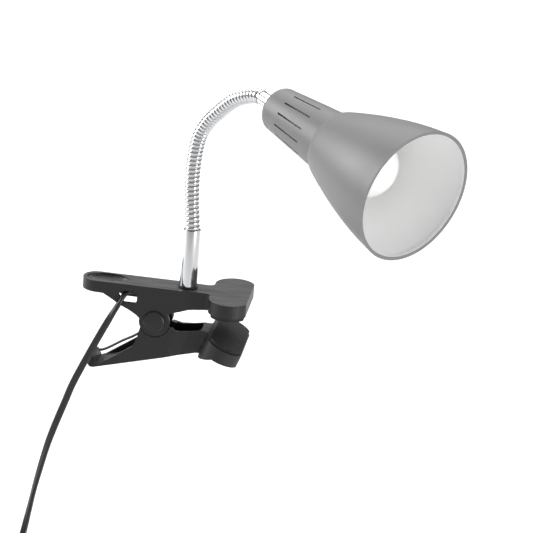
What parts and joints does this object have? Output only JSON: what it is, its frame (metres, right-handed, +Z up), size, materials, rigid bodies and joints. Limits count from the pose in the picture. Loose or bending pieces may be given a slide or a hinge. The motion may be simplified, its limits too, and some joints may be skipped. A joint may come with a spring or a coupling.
{
  "type": "clip-on reading lamp",
  "caption": "Clip-on reading lamp: black spring clamp, chrome bendable neck, grey bell-shaped metal shade with vent slots and a white inside, globe bulb, flat black cord with a switch and plug.",
  "frame": {"origin": "middle of the rubber face under the upper jaw, which rests on the table or shelf", "axes": "+X out of the jaws, +Y away from the side that the cord leaves, +Z up"},
  "size_m": [0.3229, 0.2485, 0.4098],
  "materials": {
    "black_plastic": "moulded, satin, finely streaked on top",
    "black_rubber": "matt",
    "cord_pvc": "extruded, satin",
    "chrome": "polished plating",
    "steel": "zinc plated",
    "brass": "rolled and turned",
    "grey_paint": "satin grey powder coat outside, white inside",
    "white_plastic": "moulded, semi-gloss",
    "opal_glass": "opal"
  },
  "bodies": {
    "clamp": {"upper_jaw": "black_plastic", "upper_liner": "black_rubber", "pivot_pin": "steel", "pivot_cap_near": "black_plastic", "pivot_cap_far": "black_plastic", "torsion_spring": "steel", "base_collar": "black_plastic", "base_sleeve": "chrome", "base_washer": "steel", "base_nut": "steel", "cord_clip": "black_plastic", "clip_screw": "steel", "cord": "cord_pvc", "cord_link": "cord_pvc", "cord_coil": "cord_pvc", "switch_base": "black_plastic", "switch_cover": "black_plastic", "switch_screw_1": "steel", "switch_screw_2": "steel", "plug_body": "black_plastic", "plug_pin_1": "steel", "plug_pin_2": "steel"},
    "lower_jaw": {"lower_jaw": "black_plastic", "lower_liner": "black_rubber"},
    "neck_0": {"neck_root": "chrome"},
    "neck_1": {"neck_link_1": "chrome"},
    "neck_2": {"neck_link_2": "chrome"},
    "neck_3": {"neck_link_3": "chrome"},
    "neck_4": {"neck_link_4": "chrome"},
    "head": {"neck_tip": "chrome", "head_ferrule": "chrome", "shade": "grey_paint", "head_washer": "steel", "head_nut": "steel", "lampholder_cap": "white_plastic", "lampholder_body": "white_plastic", "contact_block": "black_plastic", "screw_shell": "brass", "centre_contact": "brass", "terminal_screw_1": "brass", "terminal_screw_2": "brass"},
    "bulb": {"bulb_contact": "brass", "bulb_insulator": "black_plastic", "bulb_cap": "brass", "bulb_globe": "opal_glass"},
    "rocker": {"switch_rocker": "black_plastic"}
  },
  "joints": [
    {"name": "clamp_open", "type": "hinge", "parent": "clamp", "child": "lower_jaw", "pos_m": [-0.054, 0, -0.0139], "axis": [0, 1, 0], "range_deg": [-20.3, 35], "stiffness_Nm_per_rad": 0.8, "springref_deg": -68.75, "deforming": ["torsion_spring"]},
    {"name": "neck_swing", "type": "hinge", "parent": "clamp", "child": "neck_0", "pos_m": [-0.0322, 0, 0.058], "axis": [0, 0, 1], "range_deg": [-90, 90]},
    {"name": "neck_bend_1", "type": "hinge", "parent": "neck_0", "child": "neck_1", "pos_m": [-0.03387, 0.00151, 0.07316], "axis": [0.6704, 0.742, 0], "range_deg": [-18, 11]},
    {"name": "neck_bend_2", "type": "hinge", "parent": "neck_1", "child": "neck_2", "pos_m": [-0.03528, 0.00279, 0.10374], "axis": [0.6704, 0.742, 0], "range_deg": [-18, 11]},
    {"name": "neck_bend_3", "type": "hinge", "parent": "neck_2", "child": "neck_3", "pos_m": [-0.03011, -0.00189, 0.13332], "axis": [0.6704, 0.742, 0], "range_deg": [-18, 11]},
    {"name": "neck_bend_4", "type": "hinge", "parent": "neck_3", "child": "neck_4", "pos_m": [-0.01465, -0.01586, 0.15567], "axis": [0.6704, 0.742, 0], "range_deg": [-18, 11]},
    {"name": "neck_bend_5", "type": "hinge", "parent": "neck_4", "child": "head", "pos_m": [0.00458, -0.03323, 0.1717], "axis": [0.6704, 0.742, 0], "range_deg": [-18, 11]},
    {"name": "bulb_out", "type": "slide", "parent": "head", "child": "bulb", "axis": [0.732, -0.6614, -0.1633], "range_m": [0, 0.11]},
    {"name": "switch_rocker", "type": "hinge", "parent": "clamp", "child": "rocker", "pos_m": [-0.1448, -0.0965, -0.199], "axis": [1, 0, 0], "range_deg": [0, 14]}
  ]
}
